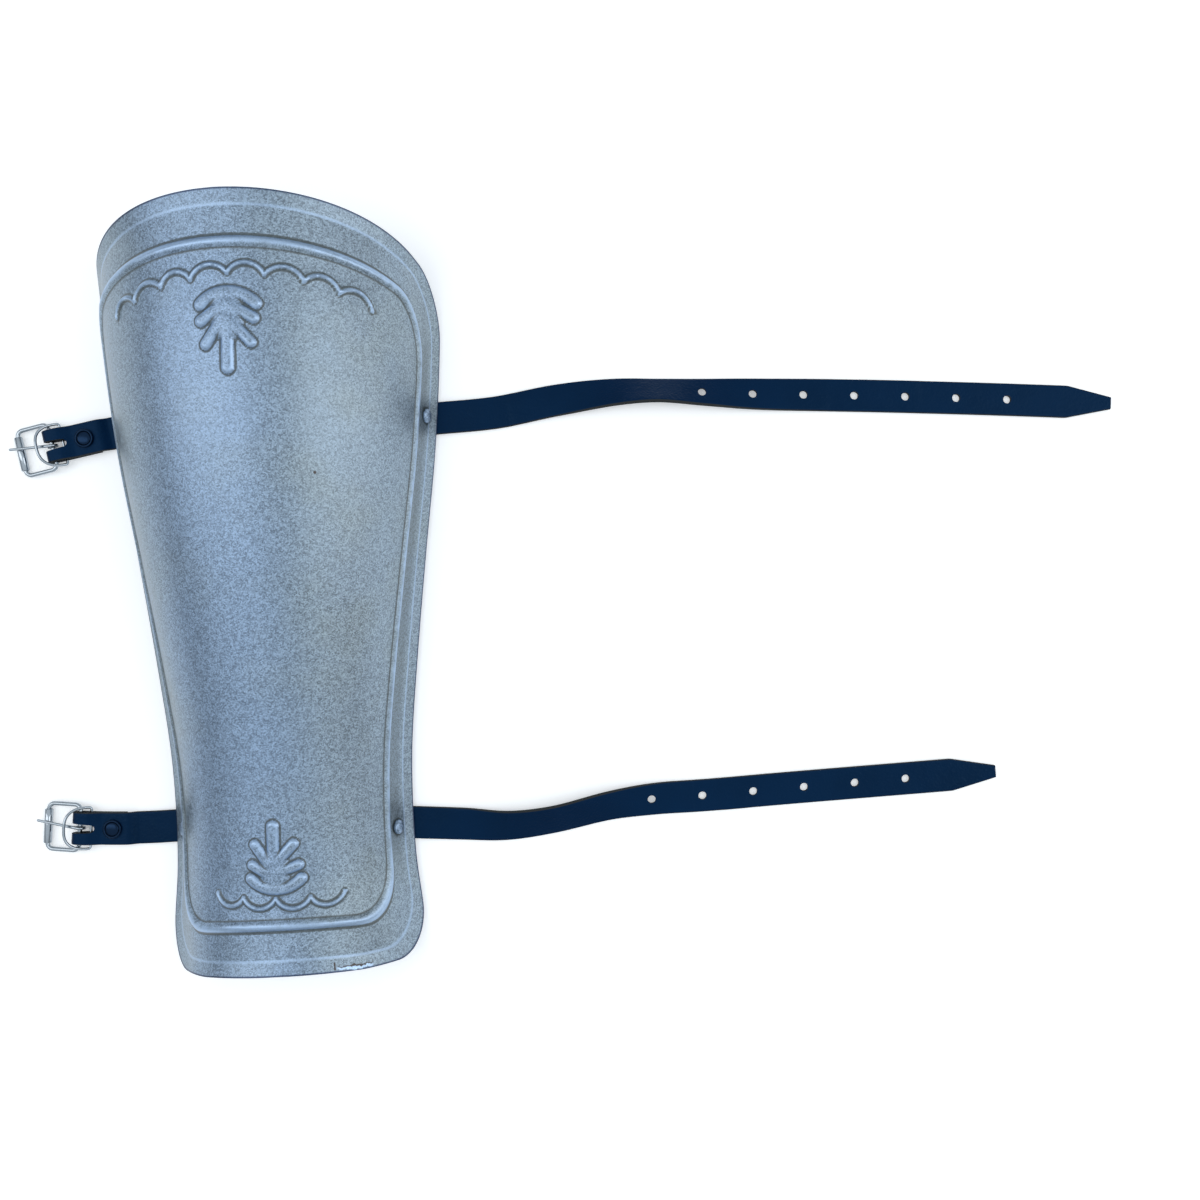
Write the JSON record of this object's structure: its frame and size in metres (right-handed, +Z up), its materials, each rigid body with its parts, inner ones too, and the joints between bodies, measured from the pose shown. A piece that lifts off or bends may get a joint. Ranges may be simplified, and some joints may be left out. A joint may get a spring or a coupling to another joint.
{
  "type": "greave",
  "caption": "Curved steel shin plate with a beaded border and stamped leaf and scallop ornament, lying crest up, with leather straps and roller buckles that close behind the leg.",
  "frame": {"origin": "middle of the whole object's box, on the surface that it lies on", "axes": "+X across the leg from the buckles to the long straps, +Y from the ankle to the knee, +Z up from the surface"},
  "size_m": [0.5486, 0.355, 0.0824],
  "materials": {
    "painted_steel": "silver metallic spray paint, satin",
    "black_leather": "smooth blue-black, semi-gloss",
    "nickel_wire": "bright nickel",
    "dark_cap": "dark polished"
  },
  "bodies": {
    "root": {"greave_plate": "painted_steel", "upper_left_rivet": "painted_steel", "upper_right_rivet": "painted_steel", "lower_left_rivet": "painted_steel", "lower_right_rivet": "painted_steel", "upper_long_strap": "black_leather", "upper_buckle_strap": "black_leather", "upper_cap_rivet": "dark_cap", "lower_long_strap": "black_leather", "lower_buckle_strap": "black_leather", "lower_cap_rivet": "dark_cap"},
    "upper_frame": {"upper_buckle_frame": "nickel_wire"},
    "upper_roller": {"upper_buckle_roller": "nickel_wire"},
    "upper_tongue": {"upper_buckle_tongue": "nickel_wire"},
    "upper_keeper": {"upper_keeper_ring": "nickel_wire"},
    "lower_frame": {"lower_buckle_frame": "nickel_wire"},
    "lower_roller": {"lower_buckle_roller": "nickel_wire"},
    "lower_tongue": {"lower_buckle_tongue": "nickel_wire"},
    "lower_keeper": {"lower_keeper_ring": "nickel_wire"}
  },
  "joints": [
    {"name": "upper_frame_swing", "type": "hinge", "parent": "root", "child": "upper_frame", "pos_m": [-0.25297, 0.08072, 0.0036], "axis": [-0.1822, 0.9833, 0], "range_deg": [-70, 15]},
    {"name": "upper_tongue_swing", "type": "hinge", "parent": "upper_frame", "child": "upper_tongue", "pos_m": [-0.25297, 0.08072, 0.0036], "axis": [-0.1822, 0.9833, 0], "range_deg": [0, 120]},
    {"name": "upper_roller_spin", "type": "hinge", "parent": "upper_frame", "child": "upper_roller", "pos_m": [-0.26912, 0.07772, 0.002], "axis": [-0.1822, 0.9833, 0], "continuous": true},
    {"name": "upper_keeper_swing", "type": "hinge", "parent": "root", "child": "upper_keeper", "pos_m": [-0.24766, 0.0817, 0.0032], "axis": [-0.1822, 0.9833, 0], "range_deg": [0, 120]},
    {"name": "lower_frame_swing", "type": "hinge", "parent": "root", "child": "lower_frame", "pos_m": [-0.24844, -0.10922, 0.0036], "axis": [0.0952, 0.9955, 0], "range_deg": [-70, 15]},
    {"name": "lower_tongue_swing", "type": "hinge", "parent": "lower_frame", "child": "lower_tongue", "pos_m": [-0.24844, -0.10922, 0.0036], "axis": [0.0952, 0.9955, 0], "range_deg": [0, 120]},
    {"name": "lower_roller_spin", "type": "hinge", "parent": "lower_frame", "child": "lower_roller", "pos_m": [-0.26478, -0.10766, 0.002], "axis": [0.0952, 0.9955, 0], "continuous": true},
    {"name": "lower_keeper_swing", "type": "hinge", "parent": "root", "child": "lower_keeper", "pos_m": [-0.24306, -0.1097, 0.0032], "axis": [0.0812, 0.9967, 0], "range_deg": [0, 120]}
  ],
  "couplings": [
    {"joint": "upper_keeper_swing", "follows": "upper_tongue_swing", "ratio": 1},
    {"joint": "lower_keeper_swing", "follows": "lower_tongue_swing", "ratio": 1}
  ]
}
